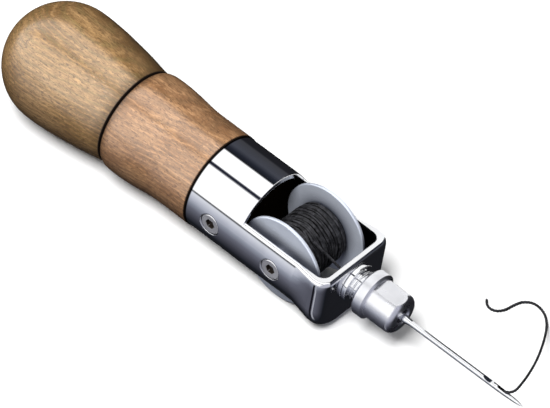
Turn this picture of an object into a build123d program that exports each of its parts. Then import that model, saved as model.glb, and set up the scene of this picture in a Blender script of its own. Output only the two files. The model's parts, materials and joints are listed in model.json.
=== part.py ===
from build123d import *
from math import asin, atan2, cos, degrees, hypot, pi, radians, sin, tan
import os

# Sewing awl: a hollow turned handle in two pieces, a tubular bobbin housing and a needle chuck.
# Stations are millimetres along the tool's axis, counted from the joint between the wood and the
# metal, positive towards the needle. The bobbin turns on an axle that lies square across the axis.

# ---------------------------------------------------------------- driving dimensions
running_gap = 0.05           # radial clearance of everything that turns or slides
broken_edge = 0.3            # small chamfers and roundings that take off sharp edges

# handle
ball_station = -50.9         # centre of the knob's round end
ball_radius = 15.6
knob_long_arc = 79.9         # side arc that runs forward from the ball
knob_arc_end = (-40.5, 14.92)
knob_waist = (-34.5, 14.13)
neck_station = -27.5         # where the knob meets the barrel
neck_radius = 12.95
knob_face_gap = 0.1
knob_lip_rounding = 0.5
barrel_bulge = (-24.2, 13.7)
barrel_middle = (-14.5, 13.04)
barrel_radius = 12.7         # at the metal
tenon_length = 13.0
store_radius = 7.2           # hollow that holds the spare needles and the key
store_knob_end = -59.0
store_barrel_end = -3.0
plug_radius = 9.0
plug_bore = 7.3
plug_rear = -38.0
plug_front = -18.5
plug_lead_in = 0.6
bush_radius = 10.8
bush_front = -17.5

# bobbin housing
tube_radius = 12.5
tube_bore = 11.35
window_rear = 16.1
pocket_front = 40.6
front_face = 42.5
pocket_half_width = 10.2
pocket_corner = 2.4
rim_height = 6.2             # flat rims of the upper window, above the axis
rim_rounding = 1.0
front_half_width = 12.3
front_half_height = 11.8
front_corner = 8.2
flare_rear = 33.0            # the tube flares from here
front_rear = 38.4            # to here, where the thick front begins
front_rounding = 3.2

# bobbin and its axle
bobbin_station = 26.6
flange_radius = 11.8
flange_thickness = 0.9
flange_face = 8.3            # outer faces of the flanges, either side of the middle
core_radius = 3.5
core_spigot = 2.9
axle_radius = 2.0
winding_radius = 7.8
winding_fall = 0.5           # how much lower the winding is beside the flanges
spacer_radius = 3.8

# screws
ferrule_screw_station = 7.55
head_radius = 2.75
head_seat = 10.9             # distance of the screw heads' undersides from the middle
head_top = 12.15
recess_radius = 2.9
socket_width = 2.5           # across the flats of the hexagon socket
socket_depth = 0.9
wood_screw_radius = 1.4
wood_screw_tip = 4.0         # distance of the screw's point from the middle
wood_screw_point = 1.5
axle_point = 0.5

# needle chuck
post_spigot = 3.0
post_flange_radius = 5.2
post_flange_front = 43.8
post_radius = 4.3
post_front = 51.4
post_mouth = 2.3             # flared rear end of the bore, where the thread goes in
needle_bore = 1.02
nut_rear = 46.2
collar_front = 49.5
collar_radius = 6.05
nut_front = 57.4
nut_radius = 5.15
nut_flats = 9.3
nut_rounding = 1.7
nut_mouth = 2.1
nut_edge = 0.5               # chamfers of the nut's collar and of its bore
collet_front = 57.0
collet_radius = 3.0
collet_shoulder = 54.4
collet_tip_radius = 1.9
slit_width = 0.35

# needle
needle_rear = 44.6
shank_radius = 1.0
shank_front = 58.2
blade_start = 60.0
blade_radius = 0.7
needle_taper = 85.4
needle_tip = 93.6
eye_rear = 86.1
eye_front = 89.2
eye_width = 0.75
eye_land_radius = 0.6        # half thickness of the blade at the front of the eye
tip_radius = 0.05
groove_width = 0.76
scarf_station = 83.4
scarf_radius = 4.1
scarf_floor = 0.4            # height of the scarf's deepest point above the needle's axis

# thread
thread_radius = 0.35
thread_in_groove = -0.55     # height of the thread that lies in the needle's long groove
thread_play = 0.03

# stored in the hollow handle: how far to the left of the axis and above it each piece lies
spare_rear = -58.3
spare_left = -2.6
spare_up = -5.45
curved_up = -3.6
curved_ends = (-57.0, -10.0)
curved_middle = (-33.5, 1.0)
key_up = -4.6
key_side = 3.6
key_short_end = -4.0
key_stations = (-52.0, -5.6)
key_bend = 2.6


# ---------------------------------------------------------------- how the awl lies on a table
# The table touches the knob's long arc and the rounded front edge of the housing, so the needle
# end points down a little. X is forward, Z is up, and the table is Z = 0.
front_edge = front_face - front_rounding
reach = front_edge - ball_station
rise = (knob_long_arc - ball_radius) + (front_half_height - front_rounding)
pitch = asin((knob_long_arc - front_rounding) / hypot(reach, rise)) - atan2(rise, reach)
axis_height = (
    front_edge * sin(pitch) + (front_half_height - front_rounding) * cos(pitch) + front_rounding
)
axis_start = (ball_radius - (ball_station + needle_tip) * cos(pitch)) / 2

forward = Vector(cos(pitch), 0, -sin(pitch))
tool_origin = Vector(axis_start, 0, axis_height)
across = Plane(origin=tool_origin, x_dir=(0, 1, 0), z_dir=forward)
side = Plane(origin=tool_origin, x_dir=forward, z_dir=(0, -1, 0))
level = Plane(origin=tool_origin, x_dir=forward, z_dir=(sin(pitch), 0, cos(pitch)))
tool_axis = Axis(tool_origin, forward)
bobbin_axis = Axis(level.from_local_coords((bobbin_station, 0, 0)), (0, 1, 0))

os.makedirs("parts", exist_ok=True)


# ---------------------------------------------------------------- handle
with BuildPart() as handle_knob:
    with BuildSketch(side):
        with BuildLine():
            knob_end = (ball_station - ball_radius, 0)
            knob_top = (ball_station, ball_radius)
            RadiusArc(knob_end, knob_top, ball_radius)
            long_arc = TangentArc(knob_top, knob_arc_end, tangent=(1, 0))
            knob_lip = (neck_station - knob_face_gap, neck_radius)
            Spline(knob_arc_end, knob_waist, knob_lip, tangents=[long_arc % 1, (1, -0.12)])
            Line(knob_lip, (knob_lip[0], 0))
            Line((knob_lip[0], 0), knob_end)
        make_face()
    revolve(axis=tool_axis)
    fillet(handle_knob.edges().sort_by(tool_axis)[-1], knob_lip_rounding)
    with BuildSketch(across.offset(plug_rear - knob_face_gap)):
        Circle(plug_radius + running_gap)
    extrude(amount=neck_station - plug_rear + knob_face_gap, mode=Mode.SUBTRACT)
    with BuildSketch(across.offset(store_knob_end)):
        Circle(store_radius)
    extrude(amount=plug_rear - store_knob_end, mode=Mode.SUBTRACT)
handle_knob.part.label = "handle_knob"
export_step(handle_knob.part, "parts/handle_knob.step")

# Threaded tube at the knob's mouth. It screws into the barrel's bush.
with BuildPart() as knob_plug:
    with BuildSketch(across.offset(plug_rear)):
        Circle(plug_radius)
        Circle(plug_bore, mode=Mode.SUBTRACT)
    extrude(amount=plug_front - plug_rear)
    chamfer(knob_plug.edges().group_by(tool_axis)[-1], plug_lead_in)
knob_plug.part.label = "knob_plug"
export_step(knob_plug.part, "parts/knob_plug.step")

with BuildPart() as handle_barrel:
    with BuildSketch(side):
        with BuildLine():
            rear_lip = (neck_station, neck_radius - broken_edge)
            metal_edge = (0, barrel_radius)
            Line((neck_station, 0), rear_lip)
            Spline(rear_lip, barrel_bulge, barrel_middle, metal_edge, tangents=[(0.6, 0.8), (1, 0)])
            Polyline(
                metal_edge,
                (0, tube_bore),
                (tenon_length, tube_bore),
                (tenon_length, 0),
                (neck_station, 0),
            )
        make_face()
    revolve(axis=tool_axis)
    with BuildSketch(across.offset(neck_station)):
        Circle(bush_radius)
    extrude(amount=bush_front - neck_station, mode=Mode.SUBTRACT)
    with BuildSketch(across.offset(bush_front)):
        Circle(store_radius)
    extrude(amount=store_barrel_end - bush_front, mode=Mode.SUBTRACT)
    # Pilot holes for the two ferrule screws, and room for their heads.
    for half in (-1, 1):
        with BuildSketch(side.offset(half * head_seat)):
            with Locations((ferrule_screw_station, 0)):
                Circle(recess_radius)
        extrude(amount=half * (tube_radius - head_seat), mode=Mode.SUBTRACT)
        with BuildSketch(side.offset(half * wood_screw_tip)):
            with Locations((ferrule_screw_station, 0)):
                Circle(wood_screw_radius)
        extrude(amount=half * (head_seat - wood_screw_tip), mode=Mode.SUBTRACT)
handle_barrel.part.label = "handle_barrel"
export_step(handle_barrel.part, "parts/handle_barrel.step")

with BuildPart() as barrel_bush:
    with BuildSketch(across.offset(neck_station)):
        Circle(bush_radius)
        Circle(plug_radius + running_gap, mode=Mode.SUBTRACT)
    extrude(amount=bush_front - neck_station)
barrel_bush.part.label = "barrel_bush"
export_step(barrel_bush.part, "parts/barrel_bush.step")


# ---------------------------------------------------------------- bobbin housing
with BuildPart() as housing:
    # A thick front with rounded corners closes the tube and flares out of it.
    with BuildSketch(across):
        Circle(tube_radius)
    extrude(amount=flare_rear)
    with BuildSketch(across.offset(flare_rear)):
        Circle(tube_radius)
    with BuildSketch(across.offset(front_rear)):
        RectangleRounded(2 * front_half_width, 2 * front_half_height, front_corner)
    loft()
    with BuildSketch(across.offset(front_rear)):
        RectangleRounded(2 * front_half_width, 2 * front_half_height, front_corner)
    extrude(amount=front_face - front_rear)
    fillet(housing.edges().group_by(tool_axis)[-1], front_rounding)
    # The upper window's rims are flat, with a rounded outer edge.
    with BuildSketch(level.offset(rim_height)):
        with Locations((window_rear, 0)):
            Rectangle(4 * tube_radius, 4 * tube_radius, align=(Align.MIN, Align.CENTER))
    extrude(amount=tube_radius, mode=Mode.SUBTRACT)
    window_top = housing.faces().filter_by(Axis(level.origin, level.z_dir)).sort_by_distance(
        level.offset(rim_height).origin + 0.5 * (window_rear + front_face) * level.x_dir
    )[0]
    window_end = window_top.edges().sort_by(tool_axis)[0]
    fillet([edge for edge in window_top.edges() if edge != window_end], rim_rounding)
    # The bobbin's pocket goes right through, and the bore holds the barrel's tenon.
    with BuildSketch(across):
        Circle(tube_bore)
    extrude(amount=window_rear, mode=Mode.SUBTRACT)
    with BuildSketch(level.offset(-2 * tube_radius)) as pocket_outline:
        with Locations(((window_rear + pocket_front) / 2, 0)):
            Rectangle(pocket_front - window_rear, 2 * pocket_half_width)
        fillet(pocket_outline.vertices().sort_by(tool_axis)[-2:], pocket_corner)
    extrude(amount=4 * tube_radius, mode=Mode.SUBTRACT)
    # Hole for the needle post, and the screws' holes.
    with BuildSketch(across.offset(pocket_front - 1)):
        Circle(post_spigot)
    extrude(amount=front_face - pocket_front + 2, mode=Mode.SUBTRACT)
    for half in (-1, 1):
        with BuildSketch(side.offset(half * head_seat)):
            with Locations((ferrule_screw_station, 0)):
                Circle(recess_radius)
        extrude(amount=half * 2 * (tube_radius - head_seat), mode=Mode.SUBTRACT)
    with BuildSketch(side.offset(head_seat)):
        with Locations((bobbin_station, 0)):
            Circle(recess_radius)
    extrude(amount=2 * (tube_radius - head_seat), mode=Mode.SUBTRACT)
    with BuildSketch(side.offset(-2 * tube_radius)):
        with Locations((bobbin_station, 0)):
            Circle(axle_radius + running_gap)
    extrude(amount=4 * tube_radius, mode=Mode.SUBTRACT)
housing.part.label = "housing"
export_step(housing.part, "parts/housing.step")


# ---------------------------------------------------------------- screws
def socket_screw(station, shank_radius, tip_distance, point):
    """A hexagon-socket screw across the tool, with its head on the right-hand (-Y) side."""
    with BuildPart() as screw:
        with BuildSketch(level):
            with BuildLine():
                Polyline(
                    (station, -head_top),
                    (station + head_radius - broken_edge, -head_top),
                    (station + head_radius, -head_top + broken_edge),
                    (station + head_radius, -head_seat),
                    (station + shank_radius, -head_seat),
                    (station + shank_radius, tip_distance - point),
                    (station + shank_radius - 0.8 * point, tip_distance),
                    (station, tip_distance),
                    (station, -head_top),
                )
            make_face()
        revolve(axis=Axis(level.from_local_coords((station, 0, 0)), (0, 1, 0)))
        with BuildSketch(side.offset(head_top - socket_depth)):
            with Locations((station, 0)):
                RegularPolygon(socket_width / 2, 6, major_radius=False)
        extrude(amount=2 * socket_depth, mode=Mode.SUBTRACT)
    return screw


with BuildPart() as ferrule_screws:
    add(socket_screw(ferrule_screw_station, wood_screw_radius, -wood_screw_tip, wood_screw_point))
    mirror(about=side)
ferrule_screws.part.label = "ferrule_screws"
export_step(ferrule_screws.part, "parts/ferrule_screws.step")

axle_screw = socket_screw(bobbin_station, axle_radius, head_top, axle_point)
axle_screw.part.label = "axle_screw"
export_step(axle_screw.part, "parts/axle_screw.step")


# ---------------------------------------------------------------- bobbin
# Spacer rings keep the bobbin in the middle of its pocket.
with BuildPart() as bobbin_spacers:
    with BuildSketch(side.offset(flange_face + running_gap)):
        with Locations((bobbin_station, 0)):
            Circle(spacer_radius)
            Circle(axle_radius + running_gap, mode=Mode.SUBTRACT)
    extrude(amount=pocket_half_width - flange_face - running_gap)
    mirror(about=side)
bobbin_spacers.part.label = "bobbin_spacers"
export_step(bobbin_spacers.part, "parts/bobbin_spacers.step")

flange_inside = flange_face - flange_thickness
with BuildPart() as bobbin_core:
    with BuildSketch(side.offset(-flange_face)):
        with Locations((bobbin_station, 0)):
            Circle(core_spigot)
    extrude(amount=2 * flange_face)
    with BuildSketch(side.offset(-flange_inside)):
        with Locations((bobbin_station, 0)):
            Circle(core_radius)
    extrude(amount=2 * flange_inside)
    with BuildSketch(side.offset(-flange_face)):
        with Locations((bobbin_station, 0)):
            Circle(axle_radius + running_gap)
    extrude(amount=2 * flange_face, mode=Mode.SUBTRACT)
bobbin_core.part.label = "bobbin_core"
export_step(bobbin_core.part, "parts/bobbin_core.step")

for flange_name, first_face in (("right", flange_inside), ("left", -flange_face)):
    with BuildPart() as bobbin_flange:
        with BuildSketch(side.offset(first_face)):
            with Locations((bobbin_station, 0)):
                Circle(flange_radius)
                Circle(core_spigot, mode=Mode.SUBTRACT)
        extrude(amount=flange_thickness)
        circles = bobbin_flange.edges().filter_by(GeomType.CIRCLE)
        fillet(circles.group_by(SortBy.RADIUS)[-1], broken_edge)
    bobbin_flange.part.label = "bobbin_flange_" + flange_name
    export_step(bobbin_flange.part, "parts/bobbin_flange_" + flange_name + ".step")

# Thread wound on the core, fuller in the middle than beside the flanges.
winding_edge = bobbin_station + winding_radius - winding_fall
with BuildPart() as thread_winding:
    with BuildSketch(level):
        with BuildLine():
            Polyline(
                (winding_edge, -flange_inside),
                (bobbin_station + core_radius, -flange_inside),
                (bobbin_station + core_radius, flange_inside),
                (winding_edge, flange_inside),
            )
            ThreePointArc(
                (winding_edge, flange_inside),
                (bobbin_station + winding_radius, 0),
                (winding_edge, -flange_inside),
            )
        make_face()
    revolve(axis=bobbin_axis)
thread_winding.part.label = "thread_winding"
export_step(thread_winding.part, "parts/thread_winding.step")


# ---------------------------------------------------------------- needle chuck
post_rear = pocket_front - broken_edge
with BuildPart() as needle_post:
    with BuildSketch(side):
        with BuildLine():
            Polyline(
                (post_rear, 0),
                (post_rear, post_spigot),
                (front_face, post_spigot),
                (front_face, post_flange_radius),
                (post_flange_front - broken_edge, post_flange_radius),
                (post_flange_front, post_flange_radius - broken_edge),
                (post_flange_front, post_radius),
                (post_front - 1, post_radius),
                (post_front, post_radius - 1),
                (post_front, 0),
                (post_rear, 0),
            )
        make_face()
    revolve(axis=tool_axis)
    with BuildSketch(side):
        with BuildLine():
            Polyline(
                (post_rear, 0),
                (post_rear, post_mouth),
                (needle_rear - broken_edge, needle_bore),
                (post_front, needle_bore),
                (post_front, 0),
                (post_rear, 0),
            )
        make_face()
    revolve(axis=tool_axis, mode=Mode.SUBTRACT)
needle_post.part.label = "needle_post"
export_step(needle_post.part, "parts/needle_post.step")

# The collet is slit three ways, and the nut's cone closes it on the needle.
collet_rear = post_front + broken_edge
collet_bore = shank_radius + running_gap
with BuildPart() as needle_collet:
    with BuildSketch(side):
        with BuildLine():
            Polyline(
                (collet_rear, collet_bore),
                (collet_rear, collet_radius),
                (collet_shoulder, collet_radius),
                (collet_front, collet_tip_radius),
                (collet_front, collet_bore),
                (collet_rear, collet_bore),
            )
        make_face()
    revolve(axis=tool_axis)
    with BuildSketch(across.offset(collet_shoulder - 1)):
        with PolarLocations(collet_radius, 3, start_angle=30):
            Rectangle(2 * collet_radius, slit_width)
    extrude(amount=collet_front - collet_shoulder + 2, mode=Mode.SUBTRACT)
needle_collet.part.label = "needle_collet"
export_step(needle_collet.part, "parts/needle_collet.step")

with BuildPart() as chuck_nut:
    # Turned nose with a wrench flat above and below.
    with BuildSketch(side):
        with BuildLine():
            nose_start = (collar_front - nut_edge, nut_radius)
            nose_edge = (nut_front - nut_rounding, nut_radius)
            nose_face = (nut_front, nut_radius - nut_rounding)
            Line((collar_front - nut_edge, 0), nose_start)
            Line(nose_start, nose_edge)
            RadiusArc(nose_edge, nose_face, nut_rounding)
            Polyline(nose_face, (nut_front, 0), (collar_front - nut_edge, 0))
        make_face()
    revolve(axis=tool_axis)
    with BuildSketch(across.offset(collar_front - 1)):
        Rectangle(4 * nut_radius, nut_flats)
    extrude(amount=nut_front - collar_front + 2, mode=Mode.INTERSECT)
    # Round collar behind the flats.
    with BuildSketch(side):
        with BuildLine():
            Polyline(
                (nut_rear, 0),
                (nut_rear, collar_radius - nut_edge),
                (nut_rear + nut_edge, collar_radius),
                (collar_front - nut_edge, collar_radius),
                (collar_front, collar_radius - nut_edge),
                (collar_front, 0),
                (nut_rear, 0),
            )
        make_face()
    revolve(axis=tool_axis)
    with BuildSketch(side):
        with BuildLine():
            Polyline(
                (nut_rear, 0),
                (nut_rear, post_radius + running_gap + nut_edge),
                (nut_rear + nut_edge, post_radius + running_gap),
                (post_front + 2 * running_gap, post_radius + running_gap),
                (post_front + 2 * running_gap, collet_radius + running_gap),
                (collet_shoulder, collet_radius + running_gap),
                (collet_front, collet_tip_radius + running_gap),
                (collet_front, nut_mouth),
                (nut_front, nut_mouth + broken_edge),
                (nut_front, 0),
                (nut_rear, 0),
            )
        make_face()
    revolve(axis=tool_axis, mode=Mode.SUBTRACT)
chuck_nut.part.label = "chuck_nut"
export_step(chuck_nut.part, "parts/chuck_nut.step")


# ---------------------------------------------------------------- needles and key
def straight_needle(left, up, rear):
    """A straight needle along the tool, with its eye, its long groove and the scarf over the eye."""
    start = level.from_local_coords((rear - needle_rear, left, up))
    needle_side = Plane(origin=start, x_dir=forward, z_dir=(0, -1, 0))
    needle_level = Plane(origin=start, x_dir=forward, z_dir=level.z_dir)
    with BuildPart() as straight:
        with BuildSketch(needle_side):
            with BuildLine():
                Polyline(
                    (needle_tip, 0),
                    (needle_rear, 0),
                    (needle_rear, shank_radius),
                    (shank_front, shank_radius),
                    (blade_start, blade_radius),
                    (needle_taper, blade_radius),
                )
                Spline(
                    (needle_taper, blade_radius),
                    (eye_front, eye_land_radius),
                    (needle_tip, tip_radius),
                    tangents=[(1, 0), (1, -0.35)],
                )
                Line((needle_tip, tip_radius), (needle_tip, 0))
            make_face()
        revolve(axis=Axis(start, forward))
        with BuildSketch(needle_level.offset(-2 * shank_radius)):
            with Locations(((eye_rear + eye_front) / 2, 0)):
                SlotOverall(eye_front - eye_rear, eye_width)
        extrude(amount=4 * shank_radius, mode=Mode.SUBTRACT)
        with BuildSketch(needle_level.offset(-2 * shank_radius)):
            with Locations((needle_rear, 0)):
                Rectangle(
                    eye_rear + eye_width / 2 - needle_rear,
                    groove_width,
                    align=(Align.MIN, Align.CENTER),
                )
        groove_top = thread_in_groove + thread_radius + thread_play
        extrude(amount=2 * shank_radius + groove_top, mode=Mode.SUBTRACT)
        with BuildSketch(needle_side.offset(-shank_radius)):
            with Locations((scarf_station, scarf_radius + scarf_floor)):
                Circle(scarf_radius)
        extrude(amount=2 * shank_radius, mode=Mode.SUBTRACT)
    return straight


needle = straight_needle(0, 0, needle_rear)
needle.part.label = "needle"
export_step(needle.part, "parts/needle.step")

# Spare needle, lying at the bottom of the hollow handle.
spare_needle = straight_needle(spare_left, spare_up, spare_rear)
spare_needle.part.label = "spare_needle"
export_step(spare_needle.part, "parts/spare_needle.step")

# Curved needle for lifting a stitch from one side, bowed over the straight one.
with BuildPart() as curved_needle:
    with BuildLine(level.offset(curved_up)):
        bow = ThreePointArc(
            (curved_ends[0], curved_up),
            curved_middle,
            (curved_ends[1], curved_up),
        )
    with BuildSketch(Plane(origin=bow @ 0, z_dir=bow % 0)):
        Circle(blade_radius)
    sweep(path=bow)
curved_needle.part.label = "curved_needle"
export_step(curved_needle.part, "parts/curved_needle.step")

# Hexagon key for the socket screws, with its short leg across the hollow.
with BuildPart() as hex_key:
    with BuildLine(level.offset(key_up)):
        key_path = FilletPolyline(
            (key_stations[0], key_side),
            (key_stations[1], key_side),
            (key_stations[1], key_short_end),
            radius=key_bend,
        )
    with BuildSketch(Plane(origin=key_path @ 0, x_dir=(0, 1, 0), z_dir=key_path % 0)):
        RegularPolygon(socket_width / 2 - running_gap, 6, major_radius=False)
    sweep(path=key_path)
hex_key.part.label = "hex_key"
export_step(hex_key.part, "parts/hex_key.step")


# ---------------------------------------------------------------- thread
def thread_tube(label, points, radii):
    """A round thread along straight runs and tangent arcs."""
    with BuildPart() as tube:
        with BuildLine():
            route = FilletPolyline(*points, radius=radii)
        with BuildSketch(Plane(origin=route @ 0, z_dir=route % 0)):
            Circle(thread_radius)
        sweep(path=route)
    tube.part.label = label
    export_step(tube.part, "parts/" + label + ".step")
    expected = pi * thread_radius**2 * route.length
    print(label, "length", round(route.length, 2))
    print(label, "volume ratio", round(tube.part.volume / expected, 4))
    print(label, "radii", [round(radius, 2) for radius in radii])


def bend_radii(points):
    """The largest arc for each corner: 0.45 of its shorter run over the tangent of half its turn."""
    radii = []
    for before, corner, after in zip(points, points[1:], points[2:]):
        run_in = Vector(*corner) - Vector(*before)
        run_out = Vector(*after) - Vector(*corner)
        half_turn = radians(run_in.get_angle(run_out)) / 2
        radii.append(0.45 * min(run_in.length, run_out.length) / tan(half_turn))
    return radii


# From the bobbin into the post's bore, along the needle's groove and up through the eye.
leave_angle = radians(56)
leave_side = -3.2
leave_radius = winding_radius + thread_radius + thread_play
leave_forward = bobbin_station + leave_radius * cos(leave_angle)
eye_exit = level.from_local_coords((88.2, 0, 0.45))
run_points = [
    level.from_local_coords((leave_forward, leave_side, leave_radius * sin(leave_angle))),
    level.from_local_coords((43.2, 0, thread_in_groove)),
    level.from_local_coords((86.4, 0, thread_in_groove)),
    eye_exit,
]
thread_tube("thread_run", run_points, [2.0, 1.5])

# The free end: folded over the eye's edge, down to the table and round in a loose hook.
tail_points = [
    tuple(eye_exit),
    (75.95, 0.00, 10.85),
    (76.70, 1.30, 11.20),
    (76.35, 3.50, 11.10),
    (75.20, 7.90, 10.20),
    (72.60, 14.80, 8.10),
    (69.10, 21.80, 5.20),
    (65.60, 28.00, 2.30),
    (62.90, 31.90, 0.60),
    (60.20, 34.10, thread_radius),
    (57.00, 34.60, thread_radius),
    (54.70, 32.90, thread_radius),
    (53.90, 30.20, thread_radius),
    (53.60, 27.90, thread_radius),
    (52.50, 26.00, thread_radius),
    (50.80, 25.40, thread_radius),
    (49.20, 25.95, thread_radius),
    (48.30, 27.20, thread_radius),
]
thread_tube("thread_tail", tail_points, bend_radii(tail_points))

print("pitch, degrees", round(degrees(pitch), 4))
print("tool origin", tool_origin, "forward", forward)
print("bobbin axis through", bobbin_axis.position)
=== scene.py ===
import bpy
import json
import math
from mathutils import Matrix, Vector, noise


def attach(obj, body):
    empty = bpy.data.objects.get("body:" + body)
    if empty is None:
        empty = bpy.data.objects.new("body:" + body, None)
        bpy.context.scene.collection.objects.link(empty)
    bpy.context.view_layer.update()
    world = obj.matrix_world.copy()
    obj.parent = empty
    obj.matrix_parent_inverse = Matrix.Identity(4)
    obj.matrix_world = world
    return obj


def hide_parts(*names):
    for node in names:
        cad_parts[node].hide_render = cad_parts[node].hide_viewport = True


# Sewing awl. Lengths in this script are metres unless a name ends in _MM. Tool coordinates are
# millimetres: x along the tool's axis from the joint between wood and metal, y to the awl's left,
# z up out of the bobbin's window.

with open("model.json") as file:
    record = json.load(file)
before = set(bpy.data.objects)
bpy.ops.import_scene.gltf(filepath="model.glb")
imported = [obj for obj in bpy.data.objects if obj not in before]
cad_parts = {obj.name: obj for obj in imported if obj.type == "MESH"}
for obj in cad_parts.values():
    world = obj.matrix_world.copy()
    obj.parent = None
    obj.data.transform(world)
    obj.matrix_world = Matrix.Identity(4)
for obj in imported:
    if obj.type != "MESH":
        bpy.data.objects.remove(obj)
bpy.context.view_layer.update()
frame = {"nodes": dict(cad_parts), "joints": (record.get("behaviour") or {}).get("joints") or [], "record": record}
nodes = frame["nodes"]
joints = {joint["name"]: joint for joint in frame["joints"]}
MM = 0.001
TAU = 2 * math.pi

forward = Vector(joints["nut_travel"]["axis"]).normalized()
left = Vector((0, 1, 0))
upward = forward.cross(left)
BOBBIN_STATION_MM = 26.6
FERRULE_SCREW_STATION_MM = 7.55
bobbin_centre = Vector(joints["bobbin_spin"]["pos_m"])
tool_origin = bobbin_centre - forward * BOBBIN_STATION_MM * MM
tool_frame = Matrix.Translation(tool_origin) @ Matrix((forward, left, upward)).transposed().to_4x4()


def place(x, y, z):
    """A point given in tool millimetres, in the row frame."""
    return tool_frame @ Vector((x * MM, y * MM, z * MM))


# ---------------------------------------------------------------- camera
AIM = Vector((-0.0005, 0.0049, 0.0120))
AZIMUTH, ELEVATION, ROLL = 36.52, 45.46, 7.20
DISTANCE = 0.9969
SENSOR_MM = 36
LENS_MM = 276.16

azimuth, elevation = math.radians(AZIMUTH), math.radians(ELEVATION)
back = Vector(
    (
        math.sin(azimuth) * math.cos(elevation),
        -math.cos(azimuth) * math.cos(elevation),
        math.sin(elevation),
    )
)
camera = bpy.data.objects.new("camera", bpy.data.cameras.new("camera"))
bpy.context.scene.collection.objects.link(camera)
camera.data.lens = LENS_MM
camera.data.sensor_width = SENSOR_MM
camera.data.clip_start = 0.05
camera.data.clip_end = 50
camera.location = AIM + back * DISTANCE
camera.rotation_mode = "QUATERNION"
level_view = back.to_track_quat("Z", "Y")
camera.rotation_quaternion = level_view @ Matrix.Rotation(math.radians(ROLL), 3, "Z").to_quaternion()
bpy.context.scene.camera = camera


# ---------------------------------------------------------------- node helpers
def new_material(name):
    material = bpy.data.materials.new(name)
    material.use_nodes = True
    return material, material.node_tree, material.node_tree.nodes["Principled BSDF"]


def add(tree, kind, inputs=None, **settings):
    """A new node with its settings and inputs. An input is a value or another node's output."""
    node = tree.nodes.new(kind)
    for name, value in settings.items():
        setattr(node, name, value)
    for key, value in (inputs or {}).items():
        if isinstance(value, bpy.types.NodeSocket):
            tree.links.new(value, node.inputs[key])
        else:
            node.inputs[key].default_value = value
    return node


def math_node(tree, operation, *values):
    return add(tree, "ShaderNodeMath", dict(enumerate(values)), operation=operation).outputs[0]


def length_of(tree, vector):
    return add(tree, "ShaderNodeVectorMath", {0: vector}, operation="LENGTH").outputs["Value"]


def ramp(tree, factor, stops):
    """A colour ramp from (position, colour) stops. A colour may be one grey number."""
    node = add(tree, "ShaderNodeValToRGB", {0: factor})
    elements = node.color_ramp.elements
    while len(elements) > 1:
        elements.remove(elements[-1])
    for index, (position, colour) in enumerate(stops):
        element = elements[0] if index == 0 else elements.new(position)
        element.position = position
        rgb = (colour,) * 3 if isinstance(colour, (int, float)) else colour
        element.color = (*rgb, 1)
    return node.outputs[0]


def mix(tree, factor, a, b):
    """Colour a where the factor is 0 and colour b where it is 1."""
    node = add(tree, "ShaderNodeMix", data_type="RGBA")
    sockets = {0: factor, 6: a, 7: b}
    for key, value in sockets.items():
        if isinstance(value, bpy.types.NodeSocket):
            tree.links.new(value, node.inputs[key])
        else:
            node.inputs[key].default_value = value if key == 0 else (*value, 1)
    return node.outputs[2]


def noise_node(tree, vector, scale, detail=4.0, roughness=0.5, distortion=0.0):
    inputs = {
        "Vector": vector,
        "Scale": scale,
        "Detail": detail,
        "Roughness": roughness,
        "Distortion": distortion,
    }
    return add(tree, "ShaderNodeTexNoise", inputs).outputs["Fac"]


def mapped(tree, scale, offset=(0, 0, 0), rotation=(0, 0, 0)):
    """The object's own coordinates, stretched. The awl's axis is close to X."""
    coordinates = add(tree, "ShaderNodeTexCoord").outputs["Object"]
    inputs = {"Vector": coordinates, "Location": offset, "Rotation": rotation, "Scale": scale}
    return add(tree, "ShaderNodeMapping", inputs).outputs[0]


def tool_position(tree):
    """Sockets of a shaded point's tool coordinates, in millimetres."""
    coordinates = add(tree, "ShaderNodeTexCoord").outputs["Object"]
    ends = {0: coordinates, 1: tuple(tool_origin)}
    from_origin = add(tree, "ShaderNodeVectorMath", ends, operation="SUBTRACT").outputs[0]
    sockets = []
    for axis in (forward, left, upward):
        inputs = {0: from_origin, 1: tuple(axis / MM)}
        dot = add(tree, "ShaderNodeVectorMath", inputs, operation="DOT_PRODUCT")
        sockets.append(dot.outputs["Value"])
    return sockets


def fade(tree, value, start, end):
    """0 at start, 1 at end, smooth between and level outside."""
    inputs = {"Value": value, "From Min": start, "From Max": end}
    return add(tree, "ShaderNodeMapRange", inputs, interpolation_type="SMOOTHSTEP").outputs[0]


def bump(tree, height, strength, distance):
    inputs = {"Height": height, "Strength": strength, "Distance": distance}
    return add(tree, "ShaderNodeBump", inputs).outputs[0]


def plug_in(tree, shader, **inputs):
    """Sets the Principled shader's inputs. Underscores in the names stand for spaces."""
    for name, value in inputs.items():
        socket = shader.inputs[name.replace("_", " ")]
        if isinstance(value, bpy.types.NodeSocket):
            tree.links.new(value, socket)
        elif hasattr(value, "__len__") and len(value) == 3:
            socket.default_value = (*value, 1)
        else:
            socket.default_value = value


def scaled(colour, factor):
    return tuple(min(1, factor * c) for c in colour)


# ---------------------------------------------------------------- materials
SHARP_JOINT_MM = 1.5
POCKET_HALF_WIDTH_MM = 10.24
POCKET_FRONT_MM = 40.68
POCKET_RIM_MM = 6.0


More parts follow.
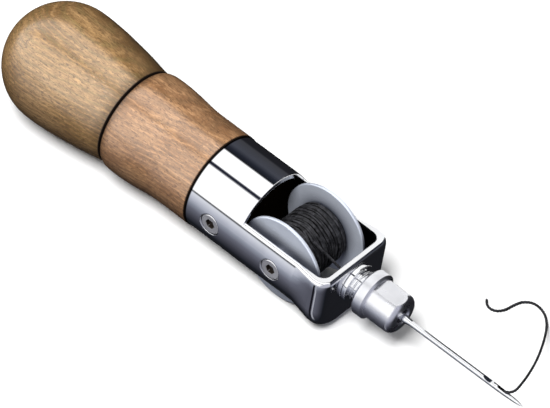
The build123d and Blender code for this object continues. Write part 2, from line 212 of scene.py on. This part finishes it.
def beech(name, pale, deep, green, seed, joints_at, heart):
    """Steamed beech under satin varnish: soft rings, short ray flecks, fine pores and blotches. The joints at the
    given stations are dark lines; the wider bands round them are painted shade on the joints' rounded shoulders. A
    darker heart streak lies near one point."""
    material, tree, shader = new_material(name)
    x, y, z = tool_position(tree)
    shift = (seed * 0.37, seed * 0.21, seed * 0.11)
    rings = add(
        tree,
        "ShaderNodeTexWave",
        {
            "Vector": mapped(tree, (0.30, 1, 1), (0.002 * seed, 0.021, 0.017), (0, 0.09, 0.13)),
            "Scale": 250.0,
            "Distortion": 11.0,
            "Detail": 3.0,
            "Detail Scale": 0.55,
        },
        wave_type="RINGS",
        rings_direction="X",
        wave_profile="SIN",
    ).outputs["Fac"]
    clouds = noise_node(tree, mapped(tree, (0.5, 1, 1), shift), 120.0, 5.0, 0.6)
    grain = noise_node(tree, mapped(tree, (0.12, 1, 1), shift), 2600.0, 5.0, 0.62, 0.3)
    flecks = noise_node(tree, mapped(tree, (0.34, 1, 1), shift), 3000.0, 2.0, 0.5, 0.7)
    pale_shift = (shift[1], shift[0], 0.3)
    pale_flecks = noise_node(tree, mapped(tree, (0.25, 1, 1), pale_shift), 2300.0, 2.0, 0.5, 0.6)
    pores = noise_node(tree, mapped(tree, (0.2, 1, 1), (0.2, shift[1], shift[0])), 5200.0, 2.0, 0.5)
    dark = scaled(deep, 0.35)
    body = mix(tree, ramp(tree, clouds, [(0.38, 0.0), (0.60, 1.0)]), deep, pale)
    for pattern, stops, colour in (
        (rings, [(0.0, 0.45), (0.35, 0.0)], green),
        (rings, [(0.84, 0.0), (0.98, 0.48)], scaled(pale, 1.35)),
        (grain, [(0.40, 0.5), (0.60, 0.0)], dark),
        (flecks, [(0.56, 0.0), (0.64, 0.72)], dark),
        (pale_flecks, [(0.60, 0.0), (0.70, 0.38)], scaled(pale, 1.5)),
        (pores, [(0.62, 0.0), (0.72, 0.5)], dark),
    ):
        body = mix(tree, ramp(tree, pattern, stops), body, colour)
    *heart_centre, reach, depth = heart
    offsets = [math_node(tree, "SUBTRACT", *pair) for pair in zip((x, y, z), heart_centre)]
    offsets[0] = math_node(tree, "MULTIPLY", offsets[0], 0.55)
    to_heart = add(tree, "ShaderNodeCombineXYZ", {0: offsets[0], 1: offsets[1], 2: offsets[2]}).outputs[0]
    far_off = length_of(tree, to_heart)
    near_heart = math_node(tree, "MULTIPLY", fade(tree, far_off, reach, 0.2 * reach), depth)
    body = mix(tree, near_heart, body, scaled(deep, 0.42))
    # Painted shade: past the joint with the metal, the wood seen through the window is coloured almost black and
    # loses its coat.
    painted_shade_inside = fade(tree, x, 0.05, 0.6)
    bare = painted_shade_inside
    # Narrow spans at a joint give a dark joint line. Wide spans give painted shade on the rounded shoulders beside
    # it. Both take away the varnish coat.
    for station, inner, outer in joints_at:
        distance = math_node(tree, "ABSOLUTE", math_node(tree, "SUBTRACT", x, station))
        strength = 1.0 if outer < SHARP_JOINT_MM else 0.45
        darkening = math_node(tree, "MULTIPLY", fade(tree, distance, outer, inner), strength)
        body = mix(tree, darkening, body, (0.009, 0.006, 0.005))
        bare = math_node(tree, "MAXIMUM", bare, darkening)
    # painted shade on the wood past the metal joint
    body = mix(tree, painted_shade_inside, body, (0.010, 0.006, 0.003))
    height = mix(tree, 0.5, grain, pores)
    plug_in(
        tree,
        shader,
        Base_Color=body,
        Roughness=ramp(tree, grain, [(0.3, 0.55), (0.7, 0.42)]),
        Specular_IOR_Level=math_node(tree, "MULTIPLY", math_node(tree, "SUBTRACT", 1.0, bare), 0.3),
        Coat_Weight=math_node(tree, "SUBTRACT", 1.0, bare),
        Coat_Roughness=ramp(tree, clouds, [(0.3, 0.30), (0.7, 0.22)]),
        Coat_IOR=2.2,
        Normal=bump(tree, height, 0.25, 0.00005),
        Coat_Normal=bump(tree, grain, 0.10, 0.00004),
    )
    return material


def polished(name, colour, roughness, fine=0.25, wear=0.06, stretch=(0.08, 1, 1), metallic=1.0):
    """Plated or polished metal with faint clouding and fine marks along the polishing direction."""
    material, tree, shader = new_material(name)
    marks = noise_node(tree, mapped(tree, stretch), 5200.0, 4.0, 0.6)
    clouds = noise_node(tree, mapped(tree, (1, 1, 1)), 240.0, 3.0, 0.5)
    low, high = roughness * (1 - fine), roughness * (1 + fine) + wear * 0.3
    tint = mix(tree, ramp(tree, clouds, [(0.35, 0.0), (0.7, 1.0)]), colour, scaled(colour, 0.93))
    plug_in(
        tree,
        shader,
        Base_Color=tint,
        Metallic=metallic,
        Roughness=ramp(tree, clouds, [(0.3, low), (0.75, high)]),
        Normal=bump(tree, marks, wear, 0.00001),
    )
    return material


def thread_material(name):
    """Black waxed thread: twisted fibres with a dull shine and grey wax, with painted shade in the gaps between
    strands, so the wax shows on the high spots.
    """
    material, tree, shader = new_material(name)
    fibres = noise_node(tree, mapped(tree, (1, 1, 1)), 9000.0, 3.0, 0.6)
    wax = noise_node(tree, mapped(tree, (1, 1, 1)), 900.0, 3.0, 0.6)
    waxed = ramp(tree, wax, [(0.40, 0.0), (0.68, 1.0)])
    colour = mix(tree, waxed, (0.0025, 0.0025, 0.0035), (0.036, 0.036, 0.041))
    # Painted shade: where ambient occlusion finds other strands close by, the thread is coloured black and loses
    # its shine.
    openness = add(tree, "ShaderNodeAmbientOcclusion", {"Distance": 0.7 * MM}, samples=8).outputs["AO"]
    strand_unshaded = ramp(tree, openness, [(0.42, 0.0), (0.88, 1.0)])
    colour = mix(tree, strand_unshaded, (0.001, 0.001, 0.001), colour)
    plug_in(
        tree,
        shader,
        Base_Color=colour,
        Roughness=ramp(tree, wax, [(0.3, 0.6), (0.7, 0.45)]),
        Specular_IOR_Level=math_node(tree, "MULTIPLY", strand_unshaded, 0.5),
        Sheen_Weight=0.03,
        Sheen_Roughness=0.4,
        Normal=bump(tree, fibres, 0.6, 0.00003),
    )
    return material


def housing_plate(name):
    """Bright chrome outside. The pocket's walls were never polished and are dull, with painted shade that makes
    them dark.
    """
    material = polished(name, (0.90, 0.905, 0.92), 0.035, 0.3, 0.03)
    tree = material.node_tree
    shader = tree.nodes["Principled BSDF"]
    x, y, z = tool_position(tree)
    # Painted shade: the pocket's walls are coloured almost black, and they are also made rougher.
    from_middle = math_node(tree, "ABSOLUTE", y)
    between = math_node(tree, "LESS_THAN", from_middle, POCKET_HALF_WIDTH_MM)
    behind_front = math_node(tree, "LESS_THAN", x, POCKET_FRONT_MM)
    below_rim = fade(tree, z, POCKET_RIM_MM, POCKET_RIM_MM - 0.6)
    painted_shade_inside = math_node(tree, "MULTIPLY", math_node(tree, "MULTIPLY", between, behind_front), below_rim)
    colour = shader.inputs["Base Color"].links[0].from_socket
    roughness = shader.inputs["Roughness"].links[0].from_socket
    colour = mix(tree, fade(tree, x, 0.5, 0.2), colour, (0.02, 0.018, 0.018))
    plug_in(
        tree,
        shader,
        # painted shade in the pocket
        Base_Color=mix(tree, painted_shade_inside, colour, (0.035, 0.033, 0.032)),
        Roughness=math_node(tree, "MAXIMUM", roughness, math_node(tree, "MULTIPLY", painted_shade_inside, 0.42)),
    )
    rounded = add(tree, "ShaderNodeBevel", {"Radius": 0.28 * MM}, samples=6).outputs[0]
    marks = shader.inputs["Normal"].links[0].from_node
    tree.links.new(rounded, marks.inputs["Normal"])
    return material


def flange_metal(name, colour):
    """Satin anodised sheet, with painted shade where the frame's walls are close to it."""
    material = polished(name, colour, 0.40, 0.2, 0.3, (1, 1, 1), 0.5)
    tree = material.node_tree
    shader = tree.nodes["Principled BSDF"]
    # Painted shade: ambient occlusion turns the sheet blue-black where walls are near.
    openness = add(tree, "ShaderNodeAmbientOcclusion", {"Distance": 4.5 * MM}, samples=8).outputs["AO"]
    flange_unshaded = ramp(tree, openness, [(0.30, 0.0), (0.92, 1.0)])
    colour = shader.inputs["Base Color"].links[0].from_socket
    plug_in(tree, shader, Base_Color=mix(tree, flange_unshaded, (0.10, 0.11, 0.15), colour))
    return material


def socket_heads(name, colour):
    """Turned screw heads, with painted shade in the hexagon sockets."""
    material = polished(name, colour, 0.34, 0.3, 0.3, (1, 0.2, 1), 0.75)
    tree = material.node_tree
    shader = tree.nodes["Principled BSDF"]
    x, y, z = tool_position(tree)
    # Painted shade: the hexagon sockets' recesses are coloured almost black.
    darkening = None
    for station in (FERRULE_SCREW_STATION_MM, BOBBIN_STATION_MM):
        off_axis = add(
            tree,
            "ShaderNodeCombineXYZ",
            {0: math_node(tree, "SUBTRACT", x, station), 1: z},
        ).outputs[0]
        distance = length_of(tree, off_axis)
        socket = fade(tree, distance, 1.5, 1.35)
        darkening = socket if darkening is None else math_node(tree, "MAXIMUM", darkening, socket)
    in_socket = math_node(tree, "MULTIPLY", darkening, fade(tree, math_node(tree, "ABSOLUTE", y), 12.1, 11.9))
    colour = shader.inputs["Base Color"].links[0].from_socket
    plug_in(tree, shader, Base_Color=mix(tree, in_socket, colour, (0.05, 0.04, 0.035)))
    return material


knob_wood = beech(
    "knob_wood",
    (0.46, 0.272, 0.112),
    (0.26, 0.138, 0.044),
    (0.215, 0.165, 0.055),
    3,
    [(-27.5, 0.3, 0.72), (-27.5, 0.2, 3.6)],
    (-31.0, 11.0, 8.0, 15.0, 0.85),
)
barrel_wood = beech(
    "barrel_wood",
    (0.50, 0.277, 0.132),
    (0.30, 0.142, 0.055),
    (0.24, 0.138, 0.064),
    8,
    [(-27.4, 0.25, 0.62), (-27.4, 0.2, 3.0), (0.0, 0.25, 0.7)],
    (-8.0, 16.0, 10.0, 9.0, 0.3),
)
chrome = housing_plate("housing_chrome")
nickel = polished("chuck_nickel", (0.86, 0.865, 0.90), 0.30, 0.2, 0.2, (1, 0.08, 0.08))
screw_steel = socket_heads("screw_steel", (0.74, 0.74, 0.77))
needle_steel = polished("needle_steel", (0.86, 0.87, 0.89), 0.09, 0.3, 0.12)
brass = polished("insert_brass", (0.80, 0.60, 0.28), 0.24, 0.3, 0.25, (1, 0.1, 0.1))
aluminium = flange_metal("bobbin_aluminium", (0.76, 0.81, 0.92))
key_black = polished("key_steel", (0.035, 0.035, 0.04), 0.42, 0.3, 0.3, (0.1, 1, 1), 0.3)
spacer_white = polished("spacer_plastic", (0.78, 0.78, 0.76), 0.5, 0.2, 0.2, (1, 1, 1), 0.0)
thread_black = thread_material("thread_black")

finishes = {
    "knob_wood": knob_wood,
    "barrel_wood": barrel_wood,
    "housing_chrome": chrome,
    "chuck_nickel": nickel,
    "screw_steel": screw_steel,
    "needle_steel": needle_steel,
    "insert_brass": brass,
    "bobbin_aluminium": aluminium,
    "key_steel": key_black,
    "spacer_plastic": spacer_white,
    "thread_black": thread_black,
}
slot_of = {piece["node"]: piece["material_slot"] for piece in frame["record"]["subparts"]}
for node_name, cad_object in nodes.items():
    for material_slot in cad_object.material_slots:
        material_slot.material = finishes[slot_of[node_name]]


# ---------------------------------------------------------------- mesh helpers
RINGS_PER_TURN = 9


def new_piece(name, vertices, faces, slot_name, body, replaced, smooth_angle=35):
    """A mesh piece from points in the row frame, with its finish, its body and what it replaces."""
    mesh = bpy.data.meshes.new(name)
    mesh.from_pydata([tuple(v) for v in vertices], [], faces)
    mesh.validate()
    mesh.polygons.foreach_set("use_smooth", [True] * len(mesh.polygons))
    mesh.set_sharp_from_angle(angle=math.radians(smooth_angle))
    piece = bpy.data.objects.new(name, mesh)
    bpy.context.scene.collection.objects.link(piece)
    mesh.materials.append(finishes[slot_name])
    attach(piece, body)
    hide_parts(replaced)
    return piece


def join_rings(rings, closed=True):
    """Vertices and faces of a skin over rings of equal count. closed joins the last to the first."""
    count = len(rings[0])
    vertices = [point for ring in rings for point in ring]
    faces = []
    last = len(rings) if closed else len(rings) - 1
    for i in range(last):
        a, b = i * count, (i + 1) % len(rings) * count
        for k in range(count):
            n = (k + 1) % count
            faces.append((a + k, b + k, b + n, a + n))
    return vertices, faces


def turned_ring(x, radius, count):
    """A ring round the tool's axis. radius may be a number or a function of the angle."""
    ring = []
    for k in range(count):
        angle = TAU * k / count
        r = radius(angle) if callable(radius) else radius
        ring.append(place(x, r * math.sin(angle), r * math.cos(angle)))
    return ring


def thread_profile(turns):
    """Height, 0 to 1, of a rounded 60 degree thread at a number of turns from its start."""
    t = abs((turns % 1) * 2 - 1)
    return min(1.0, max(0.0, (t - 0.12) / 0.72)) ** 0.9


def threaded_rings(start, end, root, crest, pitch, count, run_in, run_out):
    """Rings of a right-handed outside thread, fading into the root at both ends."""
    rings = []
    steps = round((end - start) / pitch * RINGS_PER_TURN)
    for i in range(steps + 1):
        x = start + (end - start) * i / steps
        depth = (crest - root) * max(0.0, min(1.0, (x - start) / run_in, (end - x) / run_out))

        def radius(angle, x=x, depth=depth):
            return root + depth * thread_profile((x - start) / pitch - angle / TAU)

        rings.append(turned_ring(x, radius, count))
    return rings


# ---------------------------------------------------------------- threaded pieces
POST_COUNT = 96
POST_REAR = [
    (40.35, 1.9),
    (40.35, 3.0),
    (42.50, 3.0),
    (42.50, 5.0),
    (42.62, 5.2),
    (43.50, 5.2),
    (43.70, 5.12),
    (43.80, 4.95),
    (43.80, 3.75),
]
POST_FRONT = [(51.4, 3.3), (51.4, 1.02), (44.3, 1.02)]
post_rings = [turned_ring(x, radius, POST_COUNT) for x, radius in POST_REAR]
post_rings += threaded_rings(43.9, 51.0, 3.72, 4.28, 1.0, POST_COUNT, 0.7, 0.9)
post_rings += [turned_ring(x, radius, POST_COUNT) for x, radius in POST_FRONT]
new_piece("needle_post_threaded", *join_rings(post_rings), "housing_chrome", "handle", "needle_post")

PLUG_COUNT = 120
PLUG_REAR = [(-38.0, 7.3), (-38.0, 8.9)]
PLUG_FRONT = [(-18.7, 8.2), (-18.5, 8.0), (-18.5, 7.45), (-18.65, 7.3)]
plug_rings = [turned_ring(x, radius, PLUG_COUNT) for x, radius in PLUG_REAR]
plug_rings += threaded_rings(-37.8, -18.9, 8.35, 8.99, 2.0, PLUG_COUNT, 0.5, 1.2)
plug_rings += [turned_ring(x, radius, PLUG_COUNT) for x, radius in PLUG_FRONT]
new_piece("knob_plug_threaded", *join_rings(plug_rings), "insert_brass", "plug", "knob_plug")


# ---------------------------------------------------------------- thread
THREAD = 0.7 * MM
THREAD_LEAD = 2.4 * MM
PLIES = 3
STRAND_SIDES = 7


def strand(points, radius):
    """A round strand along points, as vertices and faces, with closed ends."""
    rings = []
    tangent = (points[1] - points[0]).normalized()
    normal = tangent.orthogonal().normalized()
    for i, point in enumerate(points):
        ahead = points[min(i + 1, len(points) - 1)]
        behind = points[max(i - 1, 0)]
        new_tangent = (ahead - behind).normalized()
        turn = tangent.rotation_difference(new_tangent)
        normal = (turn @ normal).normalized()
        tangent = new_tangent
        side = tangent.cross(normal)
        ring = []
        for k in range(STRAND_SIDES):
            angle = TAU * k / STRAND_SIDES
            ring.append(point + radius * (math.cos(angle) * normal + math.sin(angle) * side))
        rings.append(ring)
    vertices, faces = join_rings(rings, closed=False)
    last = len(vertices) - STRAND_SIDES
    faces.append(tuple(range(STRAND_SIDES)))
    faces.append(tuple(range(len(vertices) - 1, last - 1, -1)))
    return vertices, faces


def plied(points, radius):
    """Plies twisted round a line of closely spaced points, as vertices and faces."""
    ply_radius = radius * 0.53
    offset = radius - ply_radius
    vertices, faces = [], []
    for ply in range(PLIES):
        path = []
        run = 0.0
        tangent = (points[1] - points[0]).normalized()
        normal = tangent.orthogonal().normalized()
        for i, point in enumerate(points):
            if i:
                run += (point - points[i - 1]).length
            ahead = points[min(i + 1, len(points) - 1)]
            behind = points[max(i - 1, 0)]
            new_tangent = (ahead - behind).normalized()
            normal = (tangent.rotation_difference(new_tangent) @ normal).normalized()
            tangent = new_tangent
            angle = TAU * (run / THREAD_LEAD + ply / PLIES)
            outward = math.cos(angle) * normal + math.sin(angle) * tangent.cross(normal)
            path.append(point + offset * outward)
        more_vertices, more_faces = strand(path, ply_radius)
        base = len(vertices)
        vertices += more_vertices
        faces += [tuple(base + index for index in face) for face in more_faces]
    return vertices, faces


def spline_points(name, route, spacing):
    """Closely spaced points of the smooth curve that has the route's points as its control points."""
    data = bpy.data.curves.new(name, "CURVE")
    data.dimensions = "3D"
    spline = data.splines.new("NURBS")
    spline.points.add(len(route) - 1)
    for point, place_in_row in zip(spline.points, route):
        point.co = (*place_in_row, 1)
    spline.order_u = 3
    spline.use_endpoint_u = True
    data.resolution_u = 24
    guide = bpy.data.objects.new(name, data)
    bpy.context.scene.collection.objects.link(guide)
    evaluated = guide.evaluated_get(bpy.context.evaluated_depsgraph_get())
    mesh = bpy.data.meshes.new_from_object(evaluated)
    dense = [vertex.co.copy() for vertex in mesh.vertices]
    bpy.data.meshes.remove(mesh)
    bpy.data.objects.remove(guide)
    points = [dense[0]]
    for point in dense[1:-1]:
        if (point - points[-1]).length >= spacing:
            points.append(point)
    points.append(dense[-1])
    return points


tail_route = [
    Vector((0.074608, 0.00000, 0.010145)),
    Vector((0.07595, 0.00000, 0.01085)),
    Vector((0.07670, 0.00130, 0.01120)),
    Vector((0.07635, 0.00350, 0.01110)),
    Vector((0.07520, 0.00790, 0.01020)),
    Vector((0.07260, 0.01480, 0.00810)),
    Vector((0.06910, 0.02180, 0.00520)),
    Vector((0.06560, 0.02800, 0.00230)),
    Vector((0.06290, 0.03190, 0.00060)),
    Vector((0.06020, 0.03410, 0.00035)),
    Vector((0.05700, 0.03460, 0.00035)),
    Vector((0.05470, 0.03290, 0.00035)),
    Vector((0.05390, 0.03020, 0.00035)),
    Vector((0.05360, 0.02790, 0.00035)),
    Vector((0.05250, 0.02600, 0.00035)),
    Vector((0.05080, 0.02540, 0.00035)),
    Vector((0.04920, 0.02595, 0.00035)),
    Vector((0.04830, 0.02720, 0.00035)),
]
tail_path = spline_points("tail_guide", tail_route, 0.16 * MM)
tail = new_piece(
    "thread_tail_plied",
    *plied(tail_path, THREAD / 2),
    "thread_black",
    "handle",
    "thread_tail",
    80,
)

LEAVE_ANGLE = math.radians(56)
LEAVE_RADIUS_MM = 8.18
leave_x = BOBBIN_STATION_MM + LEAVE_RADIUS_MM * math.cos(LEAVE_ANGLE)
leave_z = LEAVE_RADIUS_MM * math.sin(LEAVE_ANGLE)
run_points = []
run_corners = [(leave_x, -3.2, leave_z), (43.2, 0, -0.55), (86.4, 0, -0.55), (88.2, 0, 0.45)]
for corner, next_corner in zip(run_corners, run_corners[1:]):
    start, end = place(*corner), place(*next_corner)
    steps = int((end - start).length / (0.3 * MM))
    run_points += [start.lerp(end, i / steps) for i in range(steps)]
run_points.append(place(*run_corners[-1]))
new_piece(
    "thread_run_plied",
    *plied(run_points, THREAD / 2),
    "thread_black",
    "handle",
    "thread_run",
    80,
)


# ---------------------------------------------------------------- winding
WINDING_RADIUS_MM = 7.46
LAY_LIMIT_MM = 6.95
SHOULDER_MM = 4.6


def wound(turn, lay, radius, wobble, seed):
    """A point of the thread on the bobbin after some turns, lying at a distance across it."""
    angle = TAU * turn
    drift = noise.noise(Vector((math.cos(angle) * 0.9, math.sin(angle) * 0.9, seed + turn * 0.23)))
    rise = noise.noise(Vector((seed * 3.1 + turn * 0.9, math.cos(angle), 2.0)))
    r = min(WINDING_RADIUS_MM, radius + 0.16 * rise)
    y = max(-LAY_LIMIT_MM, min(LAY_LIMIT_MM, lay + 1.3 * wobble * drift))
    edge = max(0.0, abs(y) - SHOULDER_MM) / 2.4
    r -= 0.45 * edge * edge
    return place(BOBBIN_STATION_MM + r * math.cos(angle), y, r * math.sin(angle))


def wound_layer(first, last, turns, radius, wobble, seed, start_turn):
    """Points of one layer, laid from first to last across the bobbin."""
    steps = int(turns * 64)
    points = []
    for i in range(steps + 1):
        t = i / steps
        points.append(wound(start_turn + turns * t, first + (last - first) * t, radius, wobble, seed))
    return points


winding_vertices, winding_faces = [], []


def add_to_winding(vertices, faces):
    base = len(winding_vertices)
    winding_vertices.extend(vertices)
    winding_faces.extend(tuple(base + index for index in face) for face in faces)


CORE_PROFILE = [(-7.38, 3.52), (-7.38, 6.6), (-5.0, 7.0), (0.0, 7.1), (5.0, 7.0), (7.38, 6.6), (7.38, 3.52)]
CORE_SIDES = 72
core_rings = []
for y, radius in CORE_PROFILE:
    ring = []
    for k in range(CORE_SIDES):
        angle = TAU * k / CORE_SIDES
        ring.append(place(BOBBIN_STATION_MM + radius * math.cos(angle), y, radius * math.sin(angle)))
    core_rings.append(ring)
add_to_winding(*join_rings(core_rings))
# Each layer: where it starts and ends across the bobbin, turns, radius, wobble, seed.
LAYERS = [
    (-6.95, 6.95, 18.4, 7.00, 0.10, 1.0),
    (6.95, -6.95, 12.6, 7.20, 0.55, 2.0),
    (-6.7, 6.3, 8.3, 7.36, 0.95, 3.0),
    (6.4, -6.5, 5.2, 7.44, 1.3, 5.0),
    (-5.9, 4.8, 3.3, 7.46, 1.5, 8.0),
]
start_turn = 0.0
for first, last, turns, radius, wobble, seed in LAYERS:
    points = wound_layer(first, last, turns, radius, wobble, seed, start_turn)
    add_to_winding(*strand(points, THREAD / 2 * 0.96))
    start_turn += turns
new_piece(
    "thread_winding_strands",
    winding_vertices,
    winding_faces,
    "thread_black",
    "bobbin",
    "thread_winding",
    60,
)


# ---------------------------------------------------------------- light and floor
def studio_world():
    """Soft light from above. What polished metal mirrors is a row of long strips and flags that run
    beside the tool, given by their angle round its axis: 0 is overhead and 90 is to the right."""
    world = bpy.data.worlds.new("studio")
    world.use_nodes = True
    tree = world.node_tree
    tree.nodes.clear()
    direction = add(tree, "ShaderNodeTexCoord").outputs["Generated"]
    parts = add(tree, "ShaderNodeSeparateXYZ", {0: direction})
    to_right = math_node(tree, "MULTIPLY", parts.outputs["Y"], -1.0)
    angle = math_node(tree, "ARCTAN2", to_right, parts.outputs["Z"])
    factor = math_node(tree, "MULTIPLY_ADD", angle, 1 / TAU, 0.5)
    lamp = (1.3, 1.3, 1.3)
    strips = [
        (-180, (0.010, 0.011, 0.014)),
        (-115, (0.014, 0.014, 0.017)),
        (-84, (0.016, 0.016, 0.020)),
        (-78, (0.052, 0.053, 0.061)),
        (-50, (0.062, 0.066, 0.084)),
        (-38, (0.020, 0.023, 0.034)),
        (-27, (0.008, 0.010, 0.014)),
        (-24.5, lamp),
        (13.0, lamp),
        (14.5, (0.018, 0.020, 0.036)),
        (20.5, (0.018, 0.020, 0.036)),
        (23.5, lamp),
        (88.0, lamp),
        (89.5, (0.080, 0.082, 0.090)),
        (92.0, (0.080, 0.082, 0.090)),
        (93.5, (0.78, 0.80, 0.86)),
        (108, (0.52, 0.54, 0.62)),
        (120, (0.28, 0.30, 0.36)),
        (132, (0.145, 0.150, 0.19)),
        (145, (0.088, 0.090, 0.115)),
        (160, (0.045, 0.046, 0.060)),
        (180, (0.010, 0.012, 0.017)),
    ]
    mirrored = ramp(tree, factor, [((a + 180) / 360, colour) for a, colour in strips])
    ahead = math_node(
        tree,
        "MULTIPLY",
        fade(tree, parts.outputs["X"], 0.30, 0.62),
        fade(tree, parts.outputs["Z"], -0.68, -0.15),
    )
    ahead = math_node(tree, "MULTIPLY", ahead, fade(tree, parts.outputs["Y"], 0.40, 0.10))
    mirrored = mix(tree, ahead, mirrored, (0.50, 0.51, 0.59))
    low = math_node(
        tree,
        "MULTIPLY",
        fade(tree, parts.outputs["Y"], -0.05, -0.35),
        fade(tree, parts.outputs["Z"], -0.20, -0.45),
    )
    low_lines = [(-0.34, -0.12, (0.008, 0.008, 0.012)), (-0.10, 0.08, (0.42, 0.43, 0.48))]
    for start, end, colour in low_lines:
        across = math_node(
            tree,
            "MULTIPLY",
            fade(tree, parts.outputs["X"], start, start + 0.05),
            fade(tree, parts.outputs["X"], end, end - 0.05),
        )
        mirrored = mix(tree, math_node(tree, "MULTIPLY", low, across), mirrored, colour)
    height = math_node(tree, "MULTIPLY_ADD", parts.outputs["Z"], 0.5, 0.5)
    soft = ramp(tree, height, [(0.0, 0.04), (0.45, 0.08), (0.75, 0.22), (1.0, 0.35)])
    path = add(tree, "ShaderNodeLightPath")
    seen = mix(tree, path.outputs["Is Glossy Ray"], soft, mirrored)
    background = add(tree, "ShaderNodeBackground", {"Color": seen, "Strength": 1.0})
    output = add(tree, "ShaderNodeOutputWorld", {"Surface": background.outputs[0]})
    output.is_active_output = True
    return world


def staged(name, vertices, faces, material):
    """A mesh that belongs to the studio and not to the awl."""
    mesh = bpy.data.meshes.new(name)
    mesh.from_pydata([tuple(v) for v in vertices], [], faces)
    mesh.materials.append(material)
    thing = bpy.data.objects.new(name, mesh)
    bpy.context.scene.collection.objects.link(thing)
    return thing


bpy.context.scene.world = studio_world()

floor_material, floor_tree, floor_shader = new_material("floor")
plug_in(floor_tree, floor_shader, Base_Color=(0.90, 0.90, 0.90), Roughness=0.9)
FLOOR_HALF = 3.0
corner_signs = [(-1, -1), (1, -1), (1, 1), (-1, 1)]
corners = [(FLOOR_HALF * x, FLOOR_HALF * y, 0) for x, y in corner_signs]
floor = staged("floor", corners, [(0, 1, 2, 3)], floor_material)
floor.visible_glossy = False
floor.visible_diffuse = False

key_light = bpy.data.lights.new("key", "AREA")
key_light.energy = 19.0
key_light.size = 0.5
key = bpy.data.objects.new("key", key_light)
key.location = AIM + Vector((0.05, -0.47, 0.88)) * 1.1
key.rotation_euler = (Vector(key.location) - AIM).to_track_quat("Z", "Y").to_euler()
key.visible_glossy = False
bpy.context.scene.collection.objects.link(key)

CARD_RADIUS_MM = 60
CARD_START_MM, CARD_END_MM = -4, 42
CARD_FROM_DEG, CARD_SWEEP_DEG = -118, 100
CARD_STEPS = 24
card_rings = []
for i in range(CARD_STEPS + 1):
    angle = math.radians(CARD_FROM_DEG + CARD_SWEEP_DEG * i / CARD_STEPS)
    y, z = -CARD_RADIUS_MM * math.sin(angle), CARD_RADIUS_MM * math.cos(angle)
    card_rings.append([place(CARD_START_MM, y, z), place(CARD_END_MM, y, z)])
card_vertices = [point for ring in card_rings for point in ring]
card_faces = [(2 * i, 2 * i + 1, 2 * i + 3, 2 * i + 2) for i in range(CARD_STEPS)]
card_material = bpy.data.materials.new("card")
card_material.use_nodes = True
card_material.node_tree.nodes.clear()
glow = add(card_material.node_tree, "ShaderNodeEmission", {"Color": (1, 1, 1, 1), "Strength": 1.05})
add(card_material.node_tree, "ShaderNodeOutputMaterial", {"Surface": glow.outputs[0]})
card = staged("card", card_vertices, card_faces, card_material)
card.visible_camera = False
card.visible_diffuse = False
card.visible_shadow = False

bpy.context.scene.view_settings.view_transform = "Standard"
